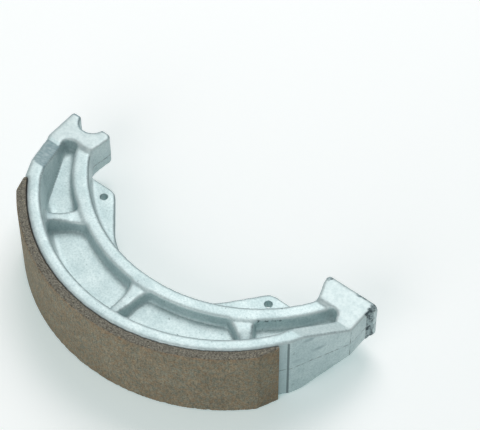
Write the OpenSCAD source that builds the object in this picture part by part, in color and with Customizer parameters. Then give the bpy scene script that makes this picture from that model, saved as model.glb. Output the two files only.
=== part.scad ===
// Shoe of a drum brake: one aluminium casting with a friction lining bonded to its table.
// The origin is on the drum's axis at the shoe's mid-plane, and Z runs along that axis.
// The middle of the lining points to -Y, the anchor end is at -X and the cam end at +X.
// Angles along the shoe are measured from -Y, and grow towards the cam end.

/* [Lining] */
// Radius of the drum that the lining is ground to
drum_r = 80; // [75:1:100]
// Width of the lining
lining_w = 35; // [29:1:44]
// Thickness of the lining
lining_t = 4; // [3:0.5:6]
// Arc from -Y to the lining's end at the anchor
anchor_lining_arc = 54.2; // [44:0.1:54.3]
// Arc from -Y to the lining's end at the cam
cam_lining_arc = 53.2; // [44:0.1:55.5]
// Arc over which the anchor end of the lining is bevelled
anchor_bevel_arc = 4.6; // [3:0.2:9]
// Arc over which the cam end of the lining is bevelled
cam_bevel_arc = 6.2; // [3:0.2:9]
// Thickness that the bevel leaves at the end of the lining
lining_end_t = 1.6; // [0.8:0.1:2.4]

/* [Table] */
// Thickness of the table at its edges
table_t = 5.3; // [4:0.1:7]
// Setback of the table's edges from the lining's edges
table_setback = 0.25; // [0:0.05:1]
// Amount by which the table thickens from its edges to the web
table_draft = 1.3; // [0.6:0.1:2]
// Chamfer on the inner corners of the table
table_chamfer = 0.6; // [0.3:0.1:1]
// Arc from -Y at which the table's inner face turns straight
table_half_arc = 56.3; // [56.2:0.1:58]
// Arc from -Y to the end of the ground seat at the anchor
anchor_seat_arc = 54.4; // [54.3:0.1:56]
// Height of the unground skin above the seat at the anchor
anchor_seat_step = 1.3; // [0.2:0.05:1.6]
// Arc from -Y to the end of the ground seat at the cam
cam_seat_arc = 56; // [55.5:0.1:56.1]
// Height of the unground skin above the seat at the cam
cam_seat_step = 0.45; // [0.2:0.05:1.6]

/* [Web and flange] */
// Thickness of the web and the spring ears
web_t = 4.4; // [3:0.1:7]
// Height of the flange along Z
flange_h = 14.6; // [12:0.2:16]
// Width of the flange's flat top
flange_w = 5.6; // [4:0.1:8]
// Depth of the section at its middle, from the drum to the flange's inner face
section_depth = 34.1; // [28:0.1:38]
// Depth of the flange's ends, from the drum along X
flange_end_inset = 25.2; // [22:0.1:28]
// Distance of the flange's ends from the XZ plane
flange_end_y = 16.9; // [15:0.1:20]
// Bulge of the flange's inner face at the mould's parting plane
flange_draft = 0.5; // [0.2:0.1:1]
// Radius of the fillets at the foot of the table and the flange
foot_r = 3.4; // [2:0.1:4]

/* [Ribs] */
// Angle of each stiffening rib
rib_angles = [-44, 0, 45];
// Thickness of a rib at its crest
rib_t = 3.8; // [2.5:0.1:5]
// Rise of a rib's crest towards the table
rib_rise = 2.8; // [1:0.1:5]
// Length over which a rib's crest rises
rib_rise_l = 10.5; // [6:0.5:12]
// Radius of the fillets that run the ribs into the walls
rib_r = 2.6; // [1.5:0.1:3.4]

/* [End pads] */
// Width of the cam pad along Z
cam_pad_w = 17; // [16:0.5:24]
// Width of the anchor pad along Z
anchor_pad_w = 15; // [14:0.5:17]
// Inset of the pads' outer sides from the drum, along X
pad_inset = 5.5; // [4.5:0.1:7]
// Distance of the pads' end faces from the XZ plane
pad_end_y = 3.85; // [3:0.05:6]
// Radius of the outer corners of the pads' end faces
pad_r = 1; // [0.5:0.1:2]
// Distance of the corner on the pads' outer sides from the XZ plane
pad_corner_y = 19.3; // [18:0.1:22]
// Distance of the pockets' ends from the XZ plane
pocket_end_y = 15.3; // [14:0.1:16]
// Radius of the pocket's end at the anchor
anchor_pocket_r = 3.8; // [2:0.1:4.2]
// Thickness of the anchor pad outside the pocket's end
anchor_pocket_wall = 6.4; // [5:0.1:9]
// Radius of the pocket's end at the cam
cam_pocket_r = 2.7; // [2:0.1:4.2]
// Thickness of the cam pad outside the pocket's end
cam_pocket_wall = 8.4; // [5:0.1:9]
// Radius that runs the flange's inner face into the pads
root_r = 5; // [2:0.5:8]
// Distance from the XZ plane at which the anchor end's ramp starts
anchor_ramp_y = 37; // [32:0.5:40]
// Distance from the XZ plane at which the anchor end's ramp ends
anchor_ramp_end_y = 21; // [20:0.1:24]
// Distance from the XZ plane at which the cam end's ramp starts
cam_ramp_y = 37.5; // [32:0.5:40]
// Distance from the XZ plane at which the cam end's ramp ends
cam_ramp_end_y = 19.3; // [18:0.1:24]
// Length of the cam pad's face
cam_pad_l = 22.2; // [20.5:0.1:24]
// Radius of the inner corner of the cam pad's face
cam_corner_r = 1.8; // [0.5:0.1:3]
// Chamfer on the long edges of the cam pad's face
cam_face_chamfer = 0.7; // [0.2:0.1:1.5]

/* [Anchor saddle] */
// Radius of the saddle that bears on the anchor pin
saddle_r = 5.4; // [4:0.1:6]
// Inset of the saddle's centre from the drum, along X
saddle_inset = 15; // [14:0.1:16.5]
// Distance of the saddle's centre from the XZ plane
saddle_y = 3.15; // [2:0.05:4]
// Thickness of the anchor pad's inner prong at its end
prong_t = 5.3; // [4:0.1:7]
// Radius of the inner corner of that prong's end
prong_r = 2.2; // [0.5:0.1:2.4]

/* [Spring ears] */
// Radius of the holes for the return springs
spring_hole_r = 1.8; // [1.2:0.1:2.6]
// Distance of the spring holes from the YZ plane
spring_hole_x = 40.6; // [36:0.1:43]
// Distance of the spring holes from the XZ plane
spring_hole_y = 25.5; // [23:0.1:27]
// Radius of an ear round its hole
ear_r = 4.5; // [3.5:0.1:6]
// Angle of the ears' sloping edge from X
ear_slope = 50; // [40:1:60]
// Radius that runs the sloping edge into the flange
ear_blend_r = 30; // [10:1:36]
// Radius of the fillet between an ear and the flange
ear_foot_r = 1.5; // [0.8:0.1:2.5]

/* [Casting gate] */
// Height of the trimmed gate left on the cam pad's outer side
gate_h = 1.7; // [0.5:0.1:2.5]
// Length of the trimmed gate along the pad
gate_l = 5.6; // [3:0.1:8]
// Inset of the trimmed gate from the pad's faces, along Z
gate_inset = 0.5; // [0.2:0.1:2]

/* [Hidden] */
$fn = 120;

table_r = drum_r - lining_t;
table_in_r = table_r - table_t;
table_foot_r = table_in_r - table_draft;
table_hz = lining_w / 2 - table_setback;
flange_foot_r = 0.7 * foot_r;
web_hz = web_t / 2;
flange_hz = flange_h / 2;
cam_pad_hz = cam_pad_w / 2;
// The anchor pad's upper face is level with the cam pad's, and its lower face is set back.
anchor_pad_low_z = anchor_pad_w - cam_pad_hz;
pad_x = drum_r - pad_inset;
saddle_x = drum_r - saddle_inset;

// The flange's inner face is an arc through its crown and its two ends.
flange_crown = drum_r - section_depth;
flange_end_x = drum_r - flange_end_inset;
flange_end_reach = pow(flange_end_x, 2) + pow(flange_end_y, 2);
flange_cy = (flange_end_reach - pow(flange_crown, 2)) / (2 * (flange_crown - flange_end_y));
flange_in_r = flange_crown + flange_cy;
flange_out_r = flange_in_r + flange_w;

// Where the flange's inner face meets the line of the pockets' ends.
flange_root_x = sqrt(pow(flange_in_r, 2) - pow(flange_cy + pocket_end_y, 2));

// Clear overlap of solids that are joined into one.
lap = 0.5;
// Depth by which a fillet's arc cuts past the walls that it joins.
bite = 0.04;
// Room by which a cutting body passes the faces that it cuts.
past = 2;
// Depth by which a rib's fillets start inside the drafted walls.
rib_sink = 0.3;
// Drop of a rib's crest below the flange's top, where the two meet.
rib_drop = 0.5;
// Distance below the pads' end faces at which their inner sides bend.
waist_run = 4;
// Share of the inner sides' slope that lies above that bend.
waist_share = 0.2;
// Depth at which the table's straight stretch lies under its skin.
skin_sink = 0.3;
// Distance that the pads reach down into the table past the corners on their outer sides.
pad_sink = 3;
// Radii of the corners where the pads' inner sides cross the flange.
cam_root_round = 0.8;
anchor_root_round = 2.6;
// Corners of the trimmed gate: height and place along the pad, as shares of its height and length.
gate_corners = [[0, 1], [1, 0.62], [1, 0.25], [0.4, 0.05]];
// Arc each side of -Y that holds both ears.
ears_half_arc = 70;
// Steps in the arcs of the outlines.
corner_steps = 6;
root_steps = 8;
ear_corner_steps = 10;
ear_blend_steps = 12;
ear_back_steps = 16;
web_steps = 90;

function polar(r, a) = [r * sin(a), -r * cos(a)];
function unit(v) = v / norm(v);

// One corner of an outline, given as [x, y, radius], as the points of its rounding.
function corner(a, b, c, steps) =
    let (p = [b.x, b.y])
    let (u = unit([a.x, a.y] - p))
    let (v = unit([c.x, c.y] - p))
    let (half = acos(u * v) / 2)
    let (centre = p + unit(u + v) * b.z / sin(half))
    let (from = p + u * b.z / tan(half) - centre)
    let (to = p + v * b.z / tan(half) - centre)
    let (a0 = atan2(from.y, from.x))
    let (turn = atan2(from.x * to.y - from.y * to.x, from * to))
    b.z == 0 ? [p] : arc(centre, b.z, a0, a0 + turn, steps);

function arc(centre, r, a0, a1, steps) =
    let (step = (a1 - a0) / steps)
    [for (k = [0:steps]) centre + r * [cos(a0 + step * k), sin(a0 + step * k)]];

function rounded(corners) =
    let (n = len(corners))
    [for (i = [0:n - 1])
        each corner(corners[(i + n - 1) % n], corners[i], corners[(i + 1) % n], corner_steps)];

// Turns a profile in X and Y round the drum's axis, over the stated arc each side of -Y.
module sweep(half_arc) {
    rotate([0, 0, -90 - half_arc])
        rotate_extrude(angle = 2 * half_arc)
            children();
}

// Repeats its children on the other side of the mid-plane.
module both_sides() {
    children();
    mirror([0, 0, 1])
        children();
}

// A fillet for a corner at the origin, with the floor below and the wall to the right.
// The wall leans away by the stated angle, and the arc bites a little into both.
module foot_fillet(r, lean) {
    reach = r * tan(45 - lean / 2);
    difference() {
        polygon([
            [-r, -lap],
            [lap, -lap],
            [lap + r * tan(lean), r]
        ]);
        translate([bite - reach, r - bite])
            circle(r = r);
    }
}

// Section of the table, with its draft, its chamfers and the fillets down to the web.
module table_section() {
    lean = atan(table_draft / (table_hz - web_hz));
    for (side = [0, 1])
        mirror([0, side]) {
            polygon([
                [table_r, -lap],
                [table_r, table_hz],
                [table_in_r + table_chamfer, table_hz],
                [table_in_r, table_hz - table_chamfer],
                [table_foot_r, web_hz],
                [table_foot_r, -lap]
            ]);
            translate([table_foot_r, web_hz])
                foot_fillet(foot_r, lean);
        }
}

// Section of the flange about its own centre: both faces draft away from the parting plane.
module flange_section() {
    lean = atan(flange_draft / flange_hz);
    for (side = [0, 1])
        mirror([0, side]) {
            polygon([
                [flange_in_r - flange_draft, 0],
                [flange_in_r, flange_hz],
                [flange_out_r, flange_hz],
                [flange_out_r + flange_draft, 0],
                [flange_out_r + flange_draft, -lap],
                [flange_in_r - flange_draft + lap, -lap]
            ]);
            translate([flange_out_r + flange_draft * (1 - web_hz / flange_hz), web_hz])
                mirror([1, 0])
                    foot_fillet(flange_foot_r, lean);
        }
}

module flange() {
    half_arc = acos((flange_cy + pocket_end_y - lap) / flange_out_r);
    translate([0, flange_cy])
        sweep(half_arc)
            flange_section();
}

// The straight stretch of the table, from the end of its arc to the pad's outer corner.
// It lies a little under the arc's face, and the unground skin covers it.
// That skin starts at the end of the lining's seat and stands above it by a step.
module straight_table(seat_arc, seat_step) {
    arc_end = polar(table_r, table_half_arc);
    pad_corner = [pad_x, -pad_corner_y];
    run = pad_corner - arc_end;
    along = unit(run);
    normal = [along.y, -along.x];
    rotate([90, 0, atan2(run.y, run.x) - 90])
        translate([arc_end * normal - table_r - skin_sink, 0, -pad_corner * along])
            linear_extrude(norm(run))
                table_section();
    linear_extrude(2 * table_hz, center = true)
        polygon([
            polar(table_r + seat_step, seat_arc),
            pad_corner,
            pad_corner - table_t / 2 * normal,
            polar(table_r - table_t / 2, table_half_arc),
            polar(table_r - table_t / 2, seat_arc)
        ]);
}

// Removes what stands above the ramp that runs down to a pad, on the side of +Z.
module ramp_cut(start_y, end_y, end_z) {
    slope = (start_y - end_y) / (table_hz - end_z);
    rotate([90, 0, 90])
        linear_extrude(drum_r + past)
            polygon([
                [-start_y - slope * past, table_hz + past],
                [-end_y, end_z],
                [past, end_z],
                [past, table_hz + past]
            ]);
}

// Outline of a pad: its inner corner, its root on the flange, and the end of the pocket.
module pad_outline(inner_x, inner_r, root_round, pocket_r, pocket_wall) {
    pocket_x = pad_x - pocket_wall - pocket_r;
    difference() {
        polygon(rounded([
            [pad_x, -pad_end_y, pad_r],
            [pad_x, -pad_corner_y, 0],
            [pad_x - table_t, -pad_corner_y - pad_sink, 0],
            [pocket_x + pocket_r, -pocket_end_y - pocket_r, 0],
            [pocket_x, -pocket_end_y, 0],
            [flange_root_x, -pocket_end_y, root_round],
            pad_waist(inner_x),
            [inner_x, -pad_end_y, inner_r]
        ]));
        translate([pocket_x, -pocket_end_y - pocket_r])
            circle(r = pocket_r + bite);
    }
}

// The point at which a pad's inner side bends, with the radius of the bend.
function pad_waist(inner_x) =
    [inner_x + (flange_root_x - inner_x) * waist_share, -pad_end_y - waist_run, waist_run];

// Fills the corner between a pad's inner side and the flange's inner face.
module root_fillet(inner_x) {
    root = [flange_root_x, -pocket_end_y];
    tangent = unit([root.y - flange_cy, -root.x]);
    linear_extrude(flange_h, center = true)
        polygon(concat(
            corner(root + root_r * tangent, [root.x, root.y, root_r], pad_waist(inner_x), root_steps),
            [root + [lap, waist_run], root + [waist_run, 0]]
        ));
}

module cam_pad() {
    inner_x = pad_x - cam_pad_l;
    root_fillet(inner_x);
    difference() {
        linear_extrude(cam_pad_w, center = true)
            pad_outline(inner_x, cam_corner_r, cam_root_round, cam_pocket_r, cam_pocket_wall);
        both_sides()
            translate([inner_x - past, -pad_end_y, cam_pad_hz])
                rotate([-45, 0, 0])
                    translate([0, -drum_r / 2, -cam_face_chamfer / sqrt(2)])
                        cube([cam_pad_l + 2 * past, drum_r, past]);
    }
}

// The rest of the trimmed gate, on the cam pad's outer side.
module gate() {
    corner_points = [for (c = gate_corners) [pad_x + gate_h * c[0], -pad_end_y - gate_l * c[1]]];
    inner_x = pad_x - lap;
    first = corner_points[0];
    last = corner_points[len(gate_corners) - 1];
    linear_extrude(cam_pad_w - 2 * gate_inset, center = true)
        polygon(concat([[inner_x, last.y], [inner_x, first.y]], corner_points));
}

module anchor_pad() {
    inner_x = saddle_x - saddle_r - prong_t;
    mirror([1, 0, 0]) {
        root_fillet(inner_x);
        translate([0, 0, -anchor_pad_low_z])
            linear_extrude(anchor_pad_w)
                pad_outline(inner_x, prong_r, anchor_root_round, anchor_pocket_r, anchor_pocket_wall);
    }
}

module saddle_cut() {
    translate([-saddle_x, -saddle_y, 0])
        cylinder(r = saddle_r, h = cam_pad_w + past, center = true);
}

// The web's outline, from the middle of the table to the middle of the flange.
module web_outline() {
    mid_r = table_r - table_t / 2;
    inner = [pad_x - table_t / 2, -pocket_end_y + lap];
    difference() {
        polygon(concat(
            [[0, 0], [-flange_root_x + lap, inner.y], [-inner.x, inner.y], [-inner.x, -pad_corner_y]],
            arc([0, 0], mid_r, -90 - table_half_arc, -90 + table_half_arc, web_steps),
            [[inner.x, -pad_corner_y], inner, [flange_root_x - lap, inner.y]]
        ));
        translate([0, flange_cy])
            circle(r = flange_in_r + flange_w / 2);
    }
}

// Distance from the drum's axis to the flange's outer face, at an angle along the shoe.
function flange_reach(a) =
    sqrt(pow(flange_out_r, 2) - pow(flange_cy * sin(a), 2)) - flange_cy * cos(a);

// Outline of a rib along -Y, run into both walls with fillets.
// The flange isn't round about the drum's axis, so its wall crosses the rib at a slope.
module rib_outline(a) {
    out_y = -table_foot_r - rib_sink;
    in_y = -flange_reach(a) - rib_sink;
    slope = -flange_cy * sin(a) / (flange_reach(a) + flange_cy * cos(a));
    half = rib_t / 2;
    wide = half + rib_r;
    polygon(rounded([
        [-wide, out_y - 4 * lap, 0],
        [-wide, out_y, 0],
        [-half, out_y, rib_r],
        [-half, in_y - slope * half, rib_r],
        [-wide, in_y - slope * wide, 0],
        [-wide, in_y - slope * wide + 3 * lap, 0],
        [wide, in_y + slope * wide + 3 * lap, 0],
        [wide, in_y + slope * wide, 0],
        [half, in_y + slope * half, rib_r],
        [half, out_y, rib_r],
        [wide, out_y, 0],
        [wide, out_y - 4 * lap, 0]
    ]));
}

// The crest is level at the flange and rises to the table, on both sides of the web.
module rib_side_view(a) {
    crest_z = flange_hz - rib_drop;
    in_y = -flange_reach(a) + 3 * lap;
    out_y = -table_foot_r - 3 * lap;
    for (side = [0, 1])
        mirror([0, side])
            polygon(rounded([
                [out_y, -lap, 0],
                [out_y, crest_z + rib_rise, 0],
                [out_y + lap, crest_z + rib_rise, 0],
                [out_y + lap + rib_rise_l, crest_z, rib_rise_l],
                [in_y, crest_z, 0],
                [in_y, -lap, 0]
            ]));
}

module rib(a) {
    rotate([0, 0, a]) {
        intersection() {
            linear_extrude(2 * table_hz, center = true)
                rib_outline(a);
            rotate([90, 0, 90])
                linear_extrude(4 * rib_t + 4 * rib_r, center = true)
                    rib_side_view(a);
        }
        for (side = [0, 1])
            mirror([side, 0, 0])
                both_sides()
                    translate([rib_t / 2, -flange_reach(a) - rib_sink, web_hz])
                        rotate([90, 0, 0])
                            linear_extrude(table_foot_r - flange_reach(a))
                                mirror([1, 0])
                                    foot_fillet(rib_r, 0);
    }
}

// The web and the flange, with the first ribs of the list on them.
module ribbed_web(ribs) {
    if (ribs == 0) {
        linear_extrude(web_t, center = true)
            web_outline();
        flange();
    } else {
        ribbed_web(ribs - 1);
        rib(rib_angles[ribs - 1]);
    }
}

// Outline of the cam end's ear: level top edge, round corner, slope and a long run into the flange.
module ear_outline() {
    top_y = ear_r - spring_hole_y;
    hole = [spring_hole_x, -spring_hole_y];
    along = [cos(ear_slope), sin(ear_slope)];
    away = [-sin(ear_slope), cos(ear_slope)];
    slope_start = hole + ear_r * away;
    tip = slope_start + along * (top_y - slope_start.y) / along.y;
    from_flange = slope_start + ear_blend_r * away - [0, flange_cy];
    back = from_flange * along;
    inner_r = flange_in_r - flange_draft;
    spare = pow(back, 2) - from_flange * from_flange + pow(inner_r - ear_blend_r, 2);
    blend = [0, flange_cy] + from_flange + along * (-back - sqrt(spare));
    blend_end = atan2(blend.y - flange_cy, blend.x);
    mid_r = flange_in_r + flange_w / 2;
    flange_top = -acos((flange_cy - top_y) / mid_r) - 90;
    polygon(concat(
        corner([mid_r, top_y], [tip.x, tip.y, ear_r], slope_start, ear_corner_steps),
        arc(blend, ear_blend_r, ear_slope - 90, blend_end, ear_blend_steps),
        arc([0, flange_cy], mid_r, blend_end, -180 - flange_top, ear_back_steps)
    ));
}

module ears() {
    lean = atan(flange_draft / flange_hz);
    wall_r = flange_in_r - flange_draft * (1 - web_hz / flange_hz);
    for (side = [0, 1])
        mirror([side, 0, 0]) {
            linear_extrude(web_t, center = true)
                ear_outline();
            intersection() {
                linear_extrude(flange_h, center = true)
                    ear_outline();
                both_sides()
                    translate([0, flange_cy, 0])
                        sweep(ears_half_arc)
                            translate([wall_r, web_hz])
                                foot_fillet(ear_foot_r, lean);
            }
        }
}

module spring_holes() {
    for (side = [-1, 1])
        translate([side * spring_hole_x, -spring_hole_y, 0])
            cylinder(r = spring_hole_r, h = web_t + past, center = true);
}

module table() {
    sweep(table_half_arc)
        table_section();
    difference() {
        straight_table(cam_seat_arc, cam_seat_step);
        both_sides()
            ramp_cut(cam_ramp_y, cam_ramp_end_y, cam_pad_hz);
    }
    mirror([1, 0, 0])
        difference() {
            straight_table(anchor_seat_arc, anchor_seat_step);
            ramp_cut(anchor_ramp_y, anchor_ramp_end_y, cam_pad_hz);
            mirror([0, 0, 1])
                ramp_cut(anchor_ramp_y, anchor_ramp_end_y, anchor_pad_low_z);
        }
}

module shoe_casting() {
    color("lightsteelblue")
        difference() {
            union() {
                cam_pad();
                anchor_pad();
                table();
                ribbed_web(len(rib_angles));
                ears();
                gate();
            }
            saddle_cut();
            spring_holes();
        }
}

// Removes the end of the lining beyond its bevel.
module bevel_cut(end_arc, bevel_arc) {
    start = polar(drum_r, end_arc - bevel_arc);
    end = polar(table_r + lining_end_t, end_arc);
    run = past * unit(end - start);
    out = [run.y, -run.x];
    linear_extrude(lining_w + past, center = true)
        polygon([start - run, end + run, end + run + lining_t * out, start - run + lining_t * out]);
}

module friction_lining() {
    color("rosybrown")
        difference() {
            rotate([0, 0, -90 - anchor_lining_arc])
                rotate_extrude(angle = anchor_lining_arc + cam_lining_arc)
                    translate([table_r, -lining_w / 2])
                        square([lining_t, lining_w]);
            bevel_cut(cam_lining_arc, cam_bevel_arc);
            mirror([1, 0, 0])
                bevel_cut(anchor_lining_arc, anchor_bevel_arc);
        }
}

shoe_casting();
friction_lining();
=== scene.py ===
# %% [markdown]
# # A drum brake shoe
# A motorcycle's drum brake shoe is two things. The first is a pressure die-cast aluminium shoe with a thin
# curved table, a web, a stiffening flange and three ribs. The second is a block of friction composite that
# is glued to the table and ground to the drum's radius. In this lesson the exact CAD shapes become those two
# things: their edges are worn round, flash stands on the parting line, and each gets its own material.

# %% Load the frame
from math import atan2, copysign, cos, degrees, hypot, pi, radians, sin, sqrt
from types import SimpleNamespace
import bmesh
import bpy
from mathutils import Matrix, Vector, noise


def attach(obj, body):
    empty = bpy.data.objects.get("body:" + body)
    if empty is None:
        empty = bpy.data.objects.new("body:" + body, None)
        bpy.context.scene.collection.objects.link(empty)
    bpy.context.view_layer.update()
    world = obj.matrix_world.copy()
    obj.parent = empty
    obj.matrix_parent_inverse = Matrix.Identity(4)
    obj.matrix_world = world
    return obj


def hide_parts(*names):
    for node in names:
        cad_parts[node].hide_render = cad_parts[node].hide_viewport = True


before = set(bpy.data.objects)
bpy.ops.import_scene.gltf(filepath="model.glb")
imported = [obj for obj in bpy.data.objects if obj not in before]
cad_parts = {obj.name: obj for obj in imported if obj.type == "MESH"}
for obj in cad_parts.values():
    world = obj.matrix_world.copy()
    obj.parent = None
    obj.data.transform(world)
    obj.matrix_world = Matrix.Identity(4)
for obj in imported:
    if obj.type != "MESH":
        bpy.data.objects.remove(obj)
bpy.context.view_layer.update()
MM = 0.001
print("CAD nodes:", sorted(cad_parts))

# %% [markdown]
# The camera stands where the photographer's did: 53 degrees above the table and 0.8 m away, with a long
# lens. A long lens keeps the near and the far end of the shoe at almost the same scale. The target and the
# distance were measured in the frame of the part, so nothing has to be moved to fit the picture.

# %% Camera
FRAME_WIDTH = 480
FOCAL_PIXELS = 2099.08
SENSOR = 36.0
ELEVATION = radians(53.046)
AZIMUTH = radians(38.5)
DISTANCE = 813.36 * MM
TARGET = Vector((5.27, 1.87, 0)) * MM

towards = Vector((cos(ELEVATION) * sin(AZIMUTH), -cos(ELEVATION) * cos(AZIMUTH), sin(ELEVATION)))
camera_data = bpy.data.cameras.new("camera")
camera_data.sensor_fit = "HORIZONTAL"
camera_data.sensor_width = SENSOR
camera_data.lens = FOCAL_PIXELS / FRAME_WIDTH * SENSOR
camera_data.clip_start = 0.01
camera = bpy.data.objects.new("camera", camera_data)
camera.location = TARGET + DISTANCE * towards
camera.rotation_euler = (-towards).to_track_quat("-Z", "Y").to_euler()
bpy.context.scene.collection.objects.link(camera)
bpy.context.scene.camera = camera
print("lens in mm:", round(camera_data.lens, 1))

# %% [markdown]
# Colours are written as sRGB hex values, because that is how they are read off a picture, and Blender
# wants them linear. One function turns them. Another adds a shader node with its settings and its links,
# so a material reads from top to bottom like a list of what the surface is made of.

# %% Colour and node helpers
def linear(code):
    """An sRGB hex colour as Blender's linear RGBA."""
    parts = [int(code[k:k + 2], 16) / 255 for k in (1, 3, 5)]
    return (*[p / 12.92 if p <= 0.04045 else ((p + 0.055) / 1.055) ** 2.4 for p in parts], 1)


def add(tree, kind, inputs=None, stops=(), **settings):
    """Adds a shader node with its settings, a ramp's stops, and its inputs' links and values.

    A node that is given as a value stands for its first output, and a hex string for its colour.
    """
    made = tree.nodes.new("ShaderNode" + kind)
    for name, value in settings.items():
        setattr(made, name, value)
    for stop, (position, code) in zip(made.color_ramp.elements if stops else (), stops):
        stop.position, stop.color = position, linear(code)
    for key, value in (inputs or {}).items():
        named = [s for s in made.inputs if s.enabled and s.name == key]
        socket = named[0] if named else made.inputs[key]
        if isinstance(value, bpy.types.Node):
            value = next(s for s in value.outputs if s.enabled)
        if isinstance(value, bpy.types.NodeSocket):
            tree.links.new(value, socket)
        else:
            socket.default_value = linear(value) if isinstance(value, str) else value
    return made


def new_material(name):
    """A material with no nodes yet."""
    material = bpy.data.materials.new(name)
    material.use_nodes = True
    material.node_tree.nodes.clear()
    return material, material.node_tree


# %% [markdown]
# A CAD mesh has long thin triangles and knife-sharp edges, and a casting has neither. So a copy of it is
# merged, more metal is laid on where the real casting has it, and a voxel remesh then puts one even net of
# small faces over the whole. The CAD mesh itself stays untouched.

# %% Copy of a CAD shape, and an even net over it
def cad_copy(node):
    """A copy of a CAD node with its doubles merged."""
    net = bmesh.new()
    net.from_mesh(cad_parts[node].data)
    bmesh.ops.remove_doubles(net, verts=net.verts, dist=0.001 * MM)
    return net


def even_net(name, net, voxel):
    """Remeshes a net of closed shells to one shell with voxels of one size."""
    mesh = bpy.data.meshes.new(name + "_rough")
    net.to_mesh(mesh)
    net.free()
    rough = bpy.data.objects.new(name + "_rough", mesh)
    bpy.context.scene.collection.objects.link(rough)
    remesh = rough.modifiers.new("voxels", "REMESH")
    remesh.mode = "VOXEL"
    remesh.voxel_size = voxel
    bpy.context.view_layer.update()
    done = bpy.data.meshes.new_from_object(rough.evaluated_get(bpy.context.evaluated_depsgraph_get()))
    bpy.data.objects.remove(rough)
    net = bmesh.new()
    net.from_mesh(done)
    bpy.data.meshes.remove(done)
    print(name, "remeshed:", len(net.verts), "vertices,", len(net.faces), "faces")
    return net


# %% [markdown]
# Each rib of the real casting grows wide where it meets the flange, because the die is cut with a large
# cutter there, and the metal fills it. The wide roots are tapered prisms that lie over the plain ribs, one
# on each side of the web. A face that is extruded once makes a prism, and scaling its low face gives draft.

# %% Wide rib roots
# The ribs' angles about the drum's axis, in degrees, and how high the roots stand, in millimetres.
RIB_ANGLES = (-44, 0, 45)
RIB_CREST = 6.8
# Half width of a root in millimetres, and how far from the flange's wall it has that width.
ROOT_WIDTHS = ((4.9, -1.5), (4.0, 0.5), (3.1, 3), (2.5, 6.5))
# The narrow end of a root: its half width, and its distance from the drum's axis.
ROOT_TIP = (2.1, 69.0)
ROOT_DRAFT = 1.25
FLANGE_CENTRE_Y = 20.38
FLANGE_OUT_R = 71.88


def prism(net, outline, low, high, spread=1.0):
    """Adds a closed prism over an outline in millimetres. Its low face is wider by the spread, along X."""
    base = net.faces.new([net.verts.new((x * MM, y * MM, low * MM)) for x, y in outline])
    raised = bmesh.ops.extrude_face_region(net, geom=[base])["geom"]
    top = [v for v in raised if isinstance(v, bmesh.types.BMVert)]
    bmesh.ops.translate(net, verts=top, vec=(0, 0, (high - low) * MM))
    bmesh.ops.scale(net, verts=base.verts, vec=(spread, 1, 1))
    return list(base.verts) + top


casting = cad_copy("shoe_casting")
for angle in RIB_ANGLES:
    across = FLANGE_CENTRE_Y * sin(radians(angle))
    reach = sqrt(FLANGE_OUT_R ** 2 - across ** 2) - FLANGE_CENTRE_Y * cos(radians(angle))
    half = [(width, reach + away) for width, away in ROOT_WIDTHS] + [ROOT_TIP]
    outline = [(w, -r) for w, r in half] + [(-w, -r) for w, r in reversed(half)]
    for side in (1, -1):
        shape = bmesh.new()
        prism(shape, outline, -side, side * RIB_CREST, ROOT_DRAFT)
        bmesh.ops.rotate(shape, verts=shape.verts, matrix=Matrix.Rotation(radians(angle), 3, "Z"))
        bmesh.ops.recalc_face_normals(shape, faces=shape.faces)
        closed = all(e.is_manifold for e in shape.edges)
        root = bpy.data.meshes.new("root")
        shape.to_mesh(root)
        shape.free()
        casting.from_mesh(root)
        bpy.data.meshes.remove(root)
print("the last rib root is closed:", closed)

# %% [markdown]
# The flange's wall is about a millimetre thicker beside the anchor end's pocket. That swell is one more
# prism, between two arcs. It reaches a little into the wall, so that the remesh joins all of it to one skin.

# %% The flange's swell, and one even skin
FLANGE_TOP = 7.3
SWELL = 1.2
SWELL_DEPTH = 1.5
# Where the swell begins and ends, in degrees about the flange's centre.
SWELL_FROM, SWELL_TO = 36, 61
SWELL_STEPS = 12
CAST_VOXEL = 0.62 * MM

swell_at = [SWELL_FROM + k * (SWELL_TO - SWELL_FROM) / SWELL_STEPS for k in range(SWELL_STEPS + 1)]
swell = [(radians(a), FLANGE_OUT_R + SWELL * sqrt(abs(sin(pi * k / SWELL_STEPS))))
         for k, a in enumerate(swell_at)]
swell += [(radians(a), FLANGE_OUT_R - SWELL_DEPTH) for a in reversed(swell_at)]
outline = [(-r * sin(a), FLANGE_CENTRE_Y - r * cos(a)) for a, r in swell]
first = len(casting.verts)
prism(casting, outline, -FLANGE_TOP, FLANGE_TOP)
casting.verts.ensure_lookup_table()
bmesh.ops.recalc_face_normals(casting, faces=list({f for v in casting.verts[first:] for f in v.link_faces}))
casting = even_net("shoe_casting", casting, CAST_VOXEL)

# %% [markdown]
# A few rounds of smoothing wear each edge to about half a millimetre, as the tumbler does to a real die
# casting. Nothing near the holes in the ears is smoothed, because they are drilled later and stay crisp.
# After the smoothing, the way a vertex has moved tells what it was: on an edge it has moved inwards, and in
# a corner outwards. That number is kept as an attribute, because the material paints a worn edge lighter,
# partly for its wear and partly as a painted highlight, and paints shade into a corner.

# %% Round the cast edges
EDGE_ROUNDS = 3
HOLES = (Vector((-40.6, -25.5)) * MM, Vector((40.6, -25.5)) * MM)
HOLE_R = 1.7 * MM
UNWORN_R = 2.2 * HOLE_R

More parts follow.
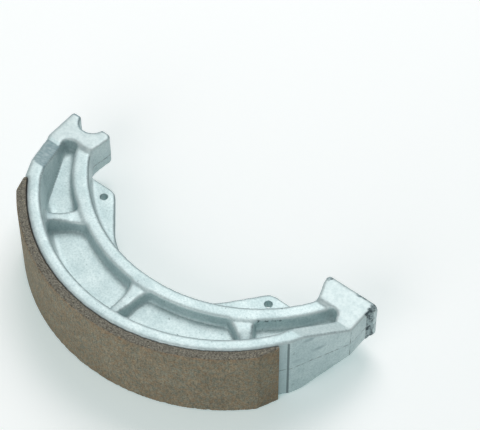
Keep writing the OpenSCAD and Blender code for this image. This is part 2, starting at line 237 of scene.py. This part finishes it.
worn_verts = [v for v in casting.verts if min((v.co.xy - h).length for h in HOLES) > UNWORN_R]
sharp = [v.co.copy() for v in casting.verts]
for _ in range(EDGE_ROUNDS):
    bmesh.ops.smooth_vert(casting, verts=worn_verts, factor=0.5,
                          use_axis_x=True, use_axis_y=True, use_axis_z=True)
casting.normal_update()
edge_of = casting.verts.layers.float.new("edge")
for vert, before in zip(casting.verts, sharp):
    vert[edge_of] = (before - vert.co).dot(vert.normal) / CAST_VOXEL
print("edges moved by up to", round(max(v[edge_of] for v in casting.verts) * CAST_VOXEL / MM, 2), "mm")

# %% [markdown]
# A remesh leaves a hole a little ragged. Each vertex by a hole's wall is pulled onto the drill's circle,
# and each one at its rim onto the web's face. The rim's edges are marked sharp, so that the shading
# breaks there.

# %% Crisp holes in the ears
WEB_TOP = 2.2
# An edge of the rim turns by more than this, in radians.
RIM_ANGLE = 0.8

drilled = set()
for vert in casting.verts:
    for hole in HOLES:
        out = vert.co.xy - hole
        if out.length < HOLE_R + 0.7 * CAST_VOXEL and abs(vert.co.z) < WEB_TOP * MM + CAST_VOXEL:
            vert.co.xy = hole + out.normalized() * HOLE_R
            if abs(vert.co.z) > WEB_TOP * MM - 0.5 * CAST_VOXEL:
                vert.co.z = copysign(WEB_TOP * MM, vert.co.z)
            drilled.add(vert)
casting.normal_update()
rims = [e for e in casting.edges if set(e.verts) <= drilled and e.calc_face_angle(0) > RIM_ANGLE]
for rim in rims:
    rim.smooth = False
print("sharp edges round the ears' holes:", len(rims))

# %% [markdown]
# At the foot of the flange's wall, and of the table's wall in the anchor end's pocket, the real fillets are
# smaller than the exact shape's. A fillet is a quarter circle, so its height over the web follows from the
# distance to the wall: each vertex of the large fillet is let down to the height of the small one.

# %% Smaller fillets in the pockets
# Radius of a fillet in the exact shape, and on the real casting.
TABLE_FILLET = (3.4, 1.3)
FLANGE_FILLET = (2.4, 1.0)
# A point at the foot of the table's straight wall, and the way that the wall faces.
WALL_FOOT = Vector((-61.5, -30.0))
WALL_OUT = Vector((0.898, 0.44))
FLANGE_FOOT = 0.35
# The change fades out towards a rib, a pad and the table's curved part: degrees, millimetres, degrees.
RIB_FADE = (6.5, 9)
PAD_FADE = (18.5, 22)
TABLE_FADE = (49, 53)


def fillet_height(distance, radius):
    """Height of a fillet's surface over the floor, at a distance from its wall."""
    inside = min(max(radius - distance, 0), radius)
    return radius - sqrt(radius ** 2 - inside ** 2)


def fade(value, low, high):
    """0 below low, 1 above high, and even between."""
    return min(max((value - low) / (high - low), 0), 1)


lowered = 0
for vert in casting.verts:
    point = vert.co / MM
    turn = degrees(atan2(point.x, -point.y))
    rise = abs(point.z) - WEB_TOP
    off_ribs = fade(min(abs(turn - a) for a in RIB_ANGLES), *RIB_FADE)
    off_ends = fade(-point.y, *PAD_FADE)
    from_table = (point.xy - WALL_FOOT).dot(WALL_OUT)
    from_flange = hypot(point.x, point.y - FLANGE_CENTRE_Y) - FLANGE_OUT_R - FLANGE_FOOT
    if SWELL_FROM < -turn:
        from_flange -= SWELL
    for away, (large, small), here in ((from_table, TABLE_FILLET, fade(-turn, *TABLE_FADE) * off_ends),
                                       (from_flange, FLANGE_FILLET, off_ribs * off_ends)):
        if here > 0 and -0.6 < away < large and 0 < rise < large:
            # Close to the wall the drop is a share of the height, so the wall's net stays even.
            drop = fillet_height(away, large) - fillet_height(away, small)
            drop = min(drop, rise * (1 - small / large) if away < 0.3 else rise)
            vert.co.z -= (1 if point.z > 0 else -1) * here * drop * MM
            lowered += 1
            break
casting.normal_update()
print("vertices let down:", lowered)

# %% [markdown]
# The die leaves its marks on certain walls, so each vertex is first asked where it lies: on an outer wall of
# an end, on the prong's inner wall, on the gate's face or on the flange's rim. The gate is where the metal
# came in, and it was broken off, so half of its face is jagged. Smooth noise makes each border ragged.

# %% Where each vertex lies
# The outer walls of the ends: past this angle, and outside of this X or of this radius.
OUTER_TURN = 53
OUTER_X, OUTER_REACH = 73.5, 74
PRONG_X, PRONG_Y = (-61, -50), -19
GATE_X, GATE_Y, GATE_BREAK_Y = 74.6, -9.8, -7.0
# The flash on the flange's rim: from and to, in degrees about its centre, and how far down.
RIM_FLASH = (36, 45)
RIM_FLASH_DEPTH = 0.9


def ripple(point, size, seed=0.0):
    """Smooth noise from -1 to 1. The size is its wavelength in millimetres."""
    return noise.noise(Vector((point.x + seed, point.y - seed, point.z + 2 * seed)) / size)


def bump_near(distance, half_width):
    """1 on a line, falling to 0 at half_width from it."""
    return max(0.0, 1 - (distance / half_width) ** 2)


def spot_of(vert):
    """A vertex's place in millimetres and degrees, the way it faces, and the walls that it lies on."""
    point, facing = vert.co / MM, vert.normal.copy()
    turn, reach = degrees(atan2(point.x, -point.y)), hypot(point.x, point.y)
    wall = abs(facing.z) < 0.5
    gate = point.x > GATE_X and point.y > GATE_Y
    round_flange = degrees(atan2(point.x, FLANGE_CENTRE_Y - point.y))
    return SimpleNamespace(
        vert=vert, point=point, facing=facing, turn=turn, reach=reach, gate=gate,
        outer=wall and abs(turn) > OUTER_TURN and (abs(point.x) > OUTER_X or reach > OUTER_REACH),
        prong=wall and PRONG_X[0] < point.x < PRONG_X[1] and point.y > PRONG_Y and facing.x > 0.2,
        broken=gate and point.y < GATE_BREAK_Y + 0.9 * ripple(point, 2.5, 9),
        rim=RIM_FLASH[0] < round_flange < RIM_FLASH[1] and point.z > FLANGE_TOP - RIM_FLASH_DEPTH,
        from_rim=hypot(point.x, point.y - FLANGE_CENTRE_Y) - FLANGE_OUT_R)


# The layers come first, because a new layer drops every reference to a vertex.
layers = {name: casting.verts.layers.float.new(name)
          for name in ("broken", "sanded", "outer", "prong", "stain_and_shade", "far")}
edge_of = casting.verts.layers.float["edge"]
spots = [spot_of(vert) for vert in casting.verts]
print("vertices on outer walls:", sum(s.outer for s in spots))

# %% [markdown]
# A mark of the casting's life is a number at each vertex, which the material reads later. The pads are
# ground, the gate and the cam pad's rim are chipped, and a few smudges of grey stain lie on the cam end's
# outer wall. The material also paints shade from these numbers: on the ramp beside the anchor pad, and as a
# fine dark line on an edge that faces the axle. The ribs' low ends are painted darker.

# %% Marks for the material
# The pads' tops lie outside of this X, past this Y and above this height.
PAD_X, PAD_Y, PAD_TOP = 50, -19.2, 7.6
RAMP_X = -58
# The low end of a rib: its span from the drum's axis, its heights, and its half width in degrees.
RIB_FOOT, RIB_FOOT_Z, RIB_FOOT_HALF_TURN = (64.5, 68.5), (5, 9.5), 2.8
# Smudges on the cam end's outer wall: place in millimetres, and strength.
SMUDGES = ((66.9, -35.4, 14.2, 0.8), (68.7, -31.6, 6.2, 0.9), (65.0, -39.5, 3.5, 0.4))
SMUDGE_LENGTH, SMUDGE_HEIGHT = 3.4, 1.1
# Chipped places on the rim of the cam pad: place and radius in millimetres.
CHIPS = ((53.4, -4.3, 8.3, 2.1), (60.5, -4.0, 8.4, 0.8), (67.4, -4.2, 8.3, 1.7), (69.6, -3.9, 8.2, 1.1),
         (73.6, -4.6, 8.2, 1.7), (74.6, -7.2, 8.2, 1.2), (74.5, -9.6, 8.1, 1.0))

for spot in spots:
    vert, point, facing = spot.vert, spot.point, spot.facing
    on_pad = point.y > PAD_Y and abs(point.x) > PAD_X and facing.z > 0.75 and point.z > PAD_TOP
    ramp = point.x < RAMP_X and 0.25 < facing.y < 0.7 and abs(facing.z) > 0.7
    dark_patch = 0.0
    for x, y, z, strength in SMUDGES if spot.outer and point.x > 60 else ():
        along = (point.xy - Vector((x, y))).length / SMUDGE_LENGTH
        dark_patch = max(dark_patch, strength * (1 - along ** 2 - ((point.z - z) / SMUDGE_HEIGHT) ** 2))
    on_rib = min(abs(spot.turn - a) for a in RIB_ANGLES) < RIB_FOOT_HALF_TURN and facing.z > 0.6
    if on_rib and spot.reach > RIB_FOOT[0] and RIB_FOOT_Z[0] < point.z < RIB_FOOT_Z[1]:
        dark_patch = max(dark_patch, 0.6 * fade(spot.reach, *RIB_FOOT))
    ragged_reach = 1 + 0.5 * ripple(point, 1.4, 31)
    chipped = any((point - Vector(chip)).length < size * ragged_reach for *chip, size in CHIPS)
    chipped = chipped or (spot.rim and -0.15 < spot.from_rim < 0.7 and ripple(point, 1.5, 37) < -0.16)
    vert[layers["broken"]] = float(spot.broken or chipped)
    vert[layers["sanded"]] = float(on_pad and not spot.gate)
    vert[layers["outer"]] = float(spot.outer)
    vert[layers["prong"]] = float(spot.prong)
    # Painted shade on the ramp beside the anchor pad; the ribs' low ends are painted darker, and the smudges
    # are real stain.
    vert[layers["stain_and_shade"]] = 1.0 if ramp else dark_patch
    # A fine line of painted shade on the edges that face the axle.
    vert[layers["far"]] = fade(vert[edge_of], 0.05, 0.18) * fade(facing.y, 0.05, 0.4)
print("vertices that are broken or chipped:", sum(s.vert[layers["broken"]] > 0 for s in spots))

# %% [markdown]
# Molten aluminium creeps between the two halves of the die, so a thin ridge of flash stands on the parting
# plane wherever an outer wall crosses it, and on the flange's rim. The cast skin is never quite even. Each
# is one small move of a vertex along the way it faces, and all the moves are worked out before the first
# is made, so that none of them sees a changed shape.

# %% Flash, broken gate and cast skin
FLASH_HEIGHT = 0.16
FLASH_HALF_WIDTH = 0.42
PRONG_SEAM_Z = -1.5
SKIN_HEIGHT = 0.045
GATE_HEIGHT = 0.36
PAD_CORNER_Y = 19.3
KINK_DEPTH = 0.12
RIM_FLASH_HEIGHT = 0.3
# The cam end's rib is thicker than the others, by this much on each side.
THICK_RIB = radians(45)
RIB_SWELL = 0.6
# The space that this rib fills: how far off its middle, its span from the drum's axis, its height.
RIB_OFF, RIB_SPAN, RIB_Z = 6, (55, 70.5), 10.5

moves = []
for spot in spots:
    point, facing = spot.point, spot.facing
    lift = SKIN_HEIGHT * (ripple(point, 5.5) + 0.5 * ripple(point, 1.9, 7))
    if (spot.outer and point.x < GATE_X) or spot.prong:
        ragged = 0.5 + 0.9 * ripple(point, 7, 3) + 0.3 * ripple(point, 1.6, 5)
        from_seam = point.z - (PRONG_SEAM_Z if spot.prong else 0)
        lift += FLASH_HEIGHT * bump_near(from_seam, FLASH_HALF_WIDTH) * min(1.3, max(0, ragged))
        if point.x > 70:
            lift -= KINK_DEPTH * bump_near(point.y + PAD_CORNER_Y, 0.5)
    off_thick_rib = point.x * cos(THICK_RIB) + point.y * sin(THICK_RIB)
    on_rib = abs(off_thick_rib) < RIB_OFF and RIB_SPAN[0] < spot.reach < RIB_SPAN[1]
    if on_rib and abs(point.z) < RIB_Z:
        lift += RIB_SWELL * (facing.x * cos(THICK_RIB) + facing.y * sin(THICK_RIB)) ** 2
    if spot.rim and abs(spot.from_rim) < 0.7:
        lift += RIM_FLASH_HEIGHT * max(0.0, ripple(point, 1.5, 37) + 0.2)
    if spot.gate:
        jagged = ripple(point, 2.2, 11) + 0.6 * ripple(point, 1.3, 13) - 0.4
        lift += GATE_HEIGHT * (1 if spot.broken else 0.25) * jagged
    moves.append(facing * lift * MM)
for spot, move in zip(spots, moves):
    spot.vert.co += move
casting.normal_update()
print("a vertex moved by up to", round(max(m.length for m in moves) / MM, 2), "mm")

# %% [markdown]
# A net becomes an object with two facts: it stands for its CAD node, so that the plain one is hidden; and it
# rides with the node's body. Its material comes later.

# %% Casting object
def finished(net, name, node):
    """The object of a finished net, which stands for a CAD node and rides with its body."""
    mesh = bpy.data.meshes.new(name)
    for face in net.faces:
        face.smooth = True
    net.to_mesh(mesh)
    net.free()
    piece = bpy.data.objects.new(name, mesh)
    bpy.context.scene.collection.objects.link(piece)
    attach(piece, "root")
    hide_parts(node)
    print(name, "triangles:", sum(len(p.vertices) - 2 for p in mesh.polygons))
    return piece


shoe = finished(casting, "shoe_casting_skin", "shoe_casting")

# %% [markdown]
# The lining is a block of friction composite: mineral and brass fibres, rubber and carbon in a hard resin.
# It is moulded flat and hot-pressed to the curve. Its side faces stay coarse, with small chips along their
# edges, and its outer face is ground to the drum's radius. The same remesh gives it an even net, finer than
# the casting's, because its grain is finer.

# %% Lining net with worn edges
LINING_VOXEL = 0.44 * MM
LINING_ROUNDS = 2
TABLE_R = 76.0
DRUM_R = 80.0
LINING_HALF_WIDTH = 17.5
SIDE_DEPTH = 0.25
SIDE_GRAIN = 0.08
CHIP_DEPTH = 0.55
CHIP_WIDTH, OUTER_CHIP_WIDTH = 0.9, 0.8
GROUND_GRAIN = 0.035
# Rust tints a band along both sides, this wide in millimetres, and the cam end from this angle on.
RUST_WIDTH = 2.6
RUST_END, RUST_TURN = 53.5, 4.5

lining = even_net("friction_lining", cad_copy("friction_lining"), LINING_VOXEL)
for _ in range(LINING_ROUNDS):
    bmesh.ops.smooth_vert(lining, verts=lining.verts, factor=0.5,
                          use_axis_x=True, use_axis_y=True, use_axis_z=True)
lining.normal_update()
side_of = lining.verts.layers.float.new("side")
rust_of = lining.verts.layers.float.new("rust")
moves = []
for vert in lining.verts:
    point = vert.co / MM
    reach = hypot(point.x, point.y)
    turn = degrees(atan2(point.x, -point.y))
    to_side = LINING_HALF_WIDTH - abs(point.z)
    on_side = to_side < SIDE_DEPTH
    vert[side_of] = float(on_side)
    ragged = 1 + 1.2 * ripple(point, 6, 21) + 0.5 * ripple(point, 2.2, 23)
    vert[rust_of] = max(0.0, 1 - to_side / (RUST_WIDTH * ragged + 0.01)) if ragged > 0 else 0.0
    vert[rust_of] = max(vert[rust_of], 1 - (RUST_END - turn) / (RUST_TURN * max(0.3, ragged)))
    lift = -(SIDE_GRAIN if on_side else GROUND_GRAIN) * (
        1 + ripple(point, 0.9, 2) + 0.7 * ripple(point, 2.3, 4))
    edge = max(0.0, 1 - to_side / CHIP_WIDTH)
    rim = max(bump_near(reach - TABLE_R, CHIP_WIDTH), bump_near(reach - DRUM_R, OUTER_CHIP_WIDTH))
    chip = max(0.0, ripple(point, 2.1, 17) + 0.35 * ripple(point, 0.9, 19) - 0.12)
    lift -= CHIP_DEPTH * edge * rim * min(1.0, 3 * chip)
    moves.append(vert.normal * lift * MM)
for vert, move in zip(lining.verts, moves):
    vert.co += move
lining.normal_update()
block = finished(lining, "friction_lining_block", "friction_lining")

# %% [markdown]
# **The casting's finish.** Die-cast aluminium is a bare metal, but its skin is not a mirror: it is a fine
# crystal texture under a film of oxide, which scatters most of the light. So it is only half metallic here,
# and a roughness near a half gives it a soft sheen. The oxide makes it cloudy in patches of several
# millimetres, and a few small pits hold grey dirt.

# %% Pressure die-cast aluminium
aluminium, tree = new_material("die_cast_aluminium_tumbled")
place = add(tree, "TexCoord").outputs["Object"]
axes = add(tree, "SeparateXYZ", {"Vector": place})
x_out, y_out, z_out = (axes.outputs[k] for k in "XYZ")
clouds = add(tree, "TexNoise", {"Vector": place, "Scale": 1 / (9 * MM), "Detail": 4.0, "Roughness": 0.6})
# The real skin's crystals are about 0.3 mm: they are drawn 0.8 mm wide, so that they show.
skin = add(tree, "TexNoise", {"Vector": place, "Scale": 1 / (0.8 * MM), "Detail": 3.0, "Roughness": 0.65})
specks = add(tree, "TexNoise", {"Vector": place, "Scale": 1 / (1.6 * MM), "Detail": 5.0, "Roughness": 0.7})
cloudy = add(tree, "ValToRGB", {"Fac": clouds}, stops=((0.34, "#C3D4D5"), (0.66, "#D9E6E6")))
grainy = add(tree, "ValToRGB", {"Fac": skin}, stops=((0.36, "#E0E7E8"), (0.6, "#FFFFFF")))
bare = add(tree, "Mix", {"Factor": 0.8, "A": cloudy, "B": grainy}, data_type="RGBA", blend_type="MULTIPLY")
pits = add(tree, "ValToRGB", {"Fac": specks}, stops=((0.29, "#6E7F82"), (0.335, "#FFFFFF")))
surface = add(tree, "Mix", {"Factor": 0.8, "A": bare, "B": pits}, data_type="RGBA", blend_type="MULTIPLY")

# %% [markdown]
# The pads' top faces were ground flat, so they are even and pale. Edges that the tumbler wore are painted
# bright, partly for their wear and partly as a painted highlight, and corners get painted shade; the edges
# that face the axle get a fine dark line of painted shade. The ramp beside the anchor pad gets painted
# shade, the ribs' low ends are painted darker, and a few smudges on the outer wall keep the darker release
# agent of the die. Each attribute of the net becomes a factor here: how much of a mark there is at a place.

# %% Ground pads, worn edges with a painted highlight, painted shade and stain
sanded, edge, outer, prong, stain_and_shade, far, broken = (
    add(tree, "Attribute", attribute_name=name).outputs["Fac"]
    for name in ("sanded", "edge", "outer", "prong", "stain_and_shade", "far", "broken"))
sandy = add(tree, "ValToRGB", {"Fac": specks}, stops=((0.36, "#BCCBCC"), (0.60, "#CFDBDB")))
# Convex edges are painted lighter: partly the tumbler's wear, partly a painted highlight.
wear_and_highlight = add(tree, "MapRange", {"Value": edge, "From Min": 0.08, "From Max": 0.35, "To Max": 0.55})
# Concave corners are painted darker: painted shade.
corner_shade = add(tree, "MapRange", {"Value": edge, "From Min": -0.06, "From Max": -0.30, "To Max": 0.45})
mottled = add(tree, "MapRange", {"Value": specks, "From Min": 0.30, "From Max": 0.60, "To Min": 0.35})
# Mottled: painted shade on the ramp, darker ribs' low ends, and stain on the outer wall.
stained_and_shaded = add(tree, "Math", {0: stain_and_shade, 1: mottled}, operation="MULTIPLY", use_clamp=True)

# %% [markdown]
# The flash and the steps have a thin dark line beside them: partly dirt in their corners, partly painted
# shade. A Compare node is 1 where two numbers are within a distance of each other, so it draws such a line
# at a height, or at an angle about the drum's axis. The flash came off in places, so its line is multiplied
# by noise, which leaves dashes.

# %% Seams and steps
SEAM_HALF_WIDTH, KINK_HALF_WIDTH = 0.22 * MM, 0.2 * MM
# The angle of each step beside the lining and of the shaded strip at the cam end, and its half width.
CAM_STEP = (radians(56.0), radians(0.32))
ANCHOR_STEP = (radians(-54.4), radians(0.25))
STRIP = (radians(54.6), radians(1.4))
dashes = add(tree, "MapRange", {"Value": specks, "From Min": 0.42, "From Max": 0.52})
walls = add(tree, "Math", {0: outer, 1: prong}, operation="MAXIMUM")
seam_height = add(tree, "Math", {0: prong, 1: -PRONG_SEAM_Z * MM, 2: z_out}, operation="MULTIPLY_ADD")
minus_y = add(tree, "Math", {0: y_out, 1: -1.0}, operation="MULTIPLY")
turn = add(tree, "Math", {0: x_out, 1: minus_y}, operation="ARCTAN2")
on_seam = add(tree, "Math", {0: seam_height, 1: 0.0, 2: SEAM_HALF_WIDTH}, operation="COMPARE")
on_kink = add(tree, "Math", {0: y_out, 1: -PAD_CORNER_Y * MM, 2: KINK_HALF_WIDTH}, operation="COMPARE")
on_cam_step = add(tree, "Math", {0: turn, 1: CAM_STEP[0], 2: CAM_STEP[1]}, operation="COMPARE")
on_anchor_step = add(tree, "Math", {0: turn, 1: ANCHOR_STEP[0], 2: ANCHOR_STEP[1]}, operation="COMPARE")
seams = add(tree, "Math", {0: on_seam, 1: on_kink}, operation="MAXIMUM")
broken_seams = add(tree, "Math", {0: seams, 1: dashes}, operation="MULTIPLY")
steps = add(tree, "Math", {0: on_cam_step, 1: on_anchor_step}, operation="MAXIMUM")
lines = add(tree, "Math", {0: broken_seams, 1: steps}, operation="MAXIMUM")
# The dark lines on the walls: partly dirt, partly painted shade beside the flash and the steps.
dirt_and_shade_line = add(tree, "Math", {0: lines, 1: walls}, operation="MULTIPLY")
strip = add(tree, "Math", {0: turn, 1: STRIP[0], 2: STRIP[1]}, operation="COMPARE")
shaded_strip = add(tree, "Math", {0: strip, 1: outer}, operation="MULTIPLY")

# %% [markdown]
# The cam pad's far rim is spotted and ragged, and the broken gate shows dark metal between bright grains.
# Then every mark becomes one more coat over the bare metal: a factor, how strong the coat is, and its
# colour.

# %% The cam pad's rim, and all the coats
# Where the dark rim begins: how far along Y, how high, and how far along X.
RIM_Y, RIM_Z, RIM_X = -3.5 * MM, 7.5 * MM, 66 * MM
to_rim = add(tree, "Math", {0: specks, 1: 2.4 * MM, 2: y_out}, operation="MULTIPLY_ADD")
past_rim = add(tree, "Math", {0: to_rim, 1: RIM_Y}, operation="GREATER_THAN")
at_top = add(tree, "Math", {0: z_out, 1: RIM_Z}, operation="GREATER_THAN")
at_cam = add(tree, "Math", {0: x_out, 1: RIM_X}, operation="GREATER_THAN")
rim = add(tree, "Math", {0: past_rim, 1: at_top}, operation="MULTIPLY")
cam_rim = add(tree, "Math", {0: rim, 1: at_cam}, operation="MULTIPLY")
spotted = add(tree, "ValToRGB", {"Fac": clouds}, stops=((0.44, "#56656A"), (0.56, "#93A7AA")))
fracture = add(tree, "ValToRGB", {"Fac": specks}, stops=((0.42, "#4A585C"), (0.56, "#A5B6B8")))
# Of these coats, the worn edges' is partly a painted highlight, and the corners', the far edges', the ramp's
# and the lines' coats are painted shade, wholly or in part.
coats = ((sanded, 1.0, sandy), (wear_and_highlight, 1.0, "#E4EDED"), (corner_shade, 1.0, "#7F9397"), (far, 0.7, "#62797D"),
         (stained_and_shaded, 0.85, "#78939A"), (shaded_strip, 0.5, "#A9BDC0"), (dirt_and_shade_line, 0.75, "#4F6064"),
         (cam_rim, 0.85, spotted), (broken, 1.0, fracture))
for factor, strength, colour in coats:
    share = add(tree, "Math", {0: factor, 1: strength}, operation="MULTIPLY")
    surface = add(tree, "Mix", {"Factor": share, "A": surface, "B": colour}, data_type="RGBA")
relief = add(tree, "Bump", {"Height": skin, "Strength": 0.25, "Distance": 0.12 * MM})
metal = add(tree, "BsdfPrincipled", {"Base Color": surface, "Metallic": 0.5, "Roughness": 0.5,
                                     "Normal": relief})
add(tree, "OutputMaterial", {"Surface": metal})
shoe.data.materials.append(aluminium)
print("aluminium nodes:", len(tree.nodes))

# %% [markdown]
# **The lining's finish.** The composite's resin is a dull olive brown with no metal in it, so metallic is 0
# and the roughness is high. Its fibres and grains are 0.3 to 1 mm wide: light flecks of mineral and brass,
# rust-brown iron, and dark pores. Grinding drags the outer face into faint streaks along the drum's axis.
# The side faces weren't ground, so they are darker, and a dark line of adhesive shows at the table.

# %% Friction composite
composite, tree = new_material("friction_composite_ground")
place = add(tree, "TexCoord").outputs["Object"]
axes = add(tree, "SeparateXYZ", {"Vector": place})
x_out, y_out, z_out = (axes.outputs[k] for k in "XYZ")
minus_y = add(tree, "Math", {0: y_out, 1: -1.0}, operation="MULTIPLY")
turn = add(tree, "Math", {0: x_out, 1: minus_y}, operation="ARCTAN2")
along = add(tree, "Math", {0: turn, 1: DRUM_R * MM}, operation="MULTIPLY")
flat = add(tree, "CombineXYZ", {"X": x_out, "Y": y_out, "Z": 0.0})
reach = add(tree, "VectorMath", {0: flat}, operation="LENGTH")
# Streaks 0.7 mm apart round the drum and 3 mm long across it.
drawn = add(tree, "Math", {0: z_out, 1: 0.25}, operation="MULTIPLY")
unrolled = add(tree, "CombineXYZ", {"X": along, "Y": drawn, "Z": 0.0})
streaks = add(tree, "TexNoise", {"Vector": unrolled, "Scale": 1 / (0.7 * MM), "Detail": 3.0})
grains = add(tree, "TexNoise", {"Vector": place, "Scale": 1 / (0.65 * MM), "Detail": 4.0, "Roughness": 0.75})
hues = add(tree, "TexNoise", {"Vector": place, "Scale": 1 / (1.5 * MM), "Detail": 4.0, "Roughness": 0.7})
patches = add(tree, "TexNoise", {"Vector": place, "Scale": 1 / (7 * MM), "Detail": 3.0})
resin = add(tree, "ValToRGB", {"Fac": grains}, stops=((0.41, "#4A483E"), (0.59, "#C6C0AF")))
ground = add(tree, "ValToRGB", {"Fac": streaks}, stops=((0.38, "#7A7464"), (0.62, "#B8B09B")))
tinted = add(tree, "ValToRGB", {"Fac": hues}, stops=((0.42, "#7C8078"), (0.58, "#B68A60")))
clouded = add(tree, "ValToRGB", {"Fac": patches}, stops=((0.35, "#D6CEBC"), (0.65, "#FFF8EA")))
moulded = add(tree, "ValToRGB", {"Fac": grains}, stops=((0.36, "#3C3B34"), (0.64, "#979386")))
side, rust = (add(tree, "Attribute", attribute_name=name).outputs["Fac"] for name in ("side", "rust"))
cells = add(tree, "TexVoronoi", {"Vector": place, "Scale": 1 / (1.7 * MM), "Randomness": 1.0})
fleck = add(tree, "MapRange", {"Value": cells, "From Min": 0.15, "From Max": 0.09, "To Max": 0.6})
glue = add(tree, "MapRange", {"Value": reach, "From Min": (TABLE_R + 0.5) * MM,
                              "From Max": (TABLE_R + 0.25) * MM})
surface = add(tree, "Mix", {"Factor": 0.45, "A": resin, "B": ground}, data_type="RGBA")
surface = add(tree, "Mix", {"Factor": 0.36, "A": surface, "B": tinted}, data_type="RGBA")
surface = add(tree, "Mix", {"Factor": 0.5, "A": surface, "B": clouded}, data_type="RGBA",
              blend_type="MULTIPLY")
for factor, strength, colour in ((rust, 0.26, "#96683F"), (side, 0.92, moulded), (fleck, 1.0, "#C3B493"),
                                 (glue, 1.0, "#2B2620")):
    share = add(tree, "Math", {0: factor, 1: strength}, operation="MULTIPLY")
    surface = add(tree, "Mix", {"Factor": share, "A": surface, "B": colour}, data_type="RGBA")
relief = add(tree, "Bump", {"Height": grains, "Strength": 0.5, "Distance": 0.2 * MM})
dull_block = add(tree, "BsdfPrincipled", {"Base Color": surface, "Metallic": 0.0, "Roughness": 0.82,
                                          "Normal": relief})
add(tree, "OutputMaterial", {"Surface": dull_block})
block.data.materials.append(composite)
print("composite nodes:", len(tree.nodes))

# %% [markdown]
# **The studio.** The shoe lies on a white table. A floor that is only lit shows grey, so for the camera, and
# for reflections, part of its brightness is its own: it stays white and keeps a pale blue shadow. The world
# is a soft dome, and one broad lamp over the far side gives the tops their light.

# %% Floor, world and lamps
FLOOR_Z = -LINING_HALF_WIDTH * MM
FLOOR_HALF = 3.0
AIM = Vector((0, -0.03, 0))
floor_net = bmesh.new()
bmesh.ops.create_grid(floor_net, x_segments=1, y_segments=1, size=FLOOR_HALF)
bmesh.ops.translate(floor_net, vec=(0, 0, FLOOR_Z), verts=floor_net.verts)
floor_mesh = bpy.data.meshes.new("floor")
floor_net.to_mesh(floor_mesh)
floor_net.free()
floor = bpy.data.objects.new("floor", floor_mesh)
bpy.context.scene.collection.objects.link(floor)

paper, tree = new_material("white_paper_sweep")
ray = add(tree, "LightPath")
seen = add(tree, "Math", {0: ray.outputs["Is Camera Ray"], 1: ray.outputs["Is Glossy Ray"]},
           operation="MAXIMUM")
seen = add(tree, "Math", {0: seen, 1: ray.outputs["Is Transmission Ray"]}, operation="MAXIMUM")
lit = add(tree, "BsdfDiffuse", {"Color": "#A8C0C2"})
lit_seen = add(tree, "BsdfDiffuse", {"Color": "#FFF0F0"})
own = add(tree, "Emission", {"Color": "#6F8E8D", "Strength": 1.0})
both = add(tree, "AddShader", {0: lit_seen, 1: own})
choice = add(tree, "MixShader", {"Fac": seen, 1: lit, 2: both})
add(tree, "OutputMaterial", {"Surface": choice})
floor.data.materials.append(paper)

world = bpy.data.worlds.new("studio")
world.use_nodes = True
world.node_tree.nodes.clear()
sky = add(world.node_tree, "Background", {"Color": "#E9F1F2", "Strength": 0.38})
add(world.node_tree, "OutputWorld", {"Surface": sky})
bpy.context.scene.world = world


def softbox(name, place, size, watts):
    """A square area lamp that faces the shoe."""
    lamp = bpy.data.lights.new(name, "AREA")
    lamp.size = size
    lamp.energy = watts
    holder = bpy.data.objects.new(name, lamp)
    holder.location = place
    holder.rotation_euler = (AIM - Vector(place)).to_track_quat("-Z", "Y").to_euler()
    bpy.context.scene.collection.objects.link(holder)
    return holder


softbox("overhead", (-0.24, 0.42, 0.80), 0.5, 3.65)
softbox("back", (-0.35, 0.85, 0.25), 0.5, 0.8)
softbox("front", (0.1, -0.75, 0.40), 0.6, 2.2)

# %% [markdown]
# The Standard view shows a colour as it is written.

# %% Standard view
bpy.context.scene.view_settings.view_transform = "Standard"
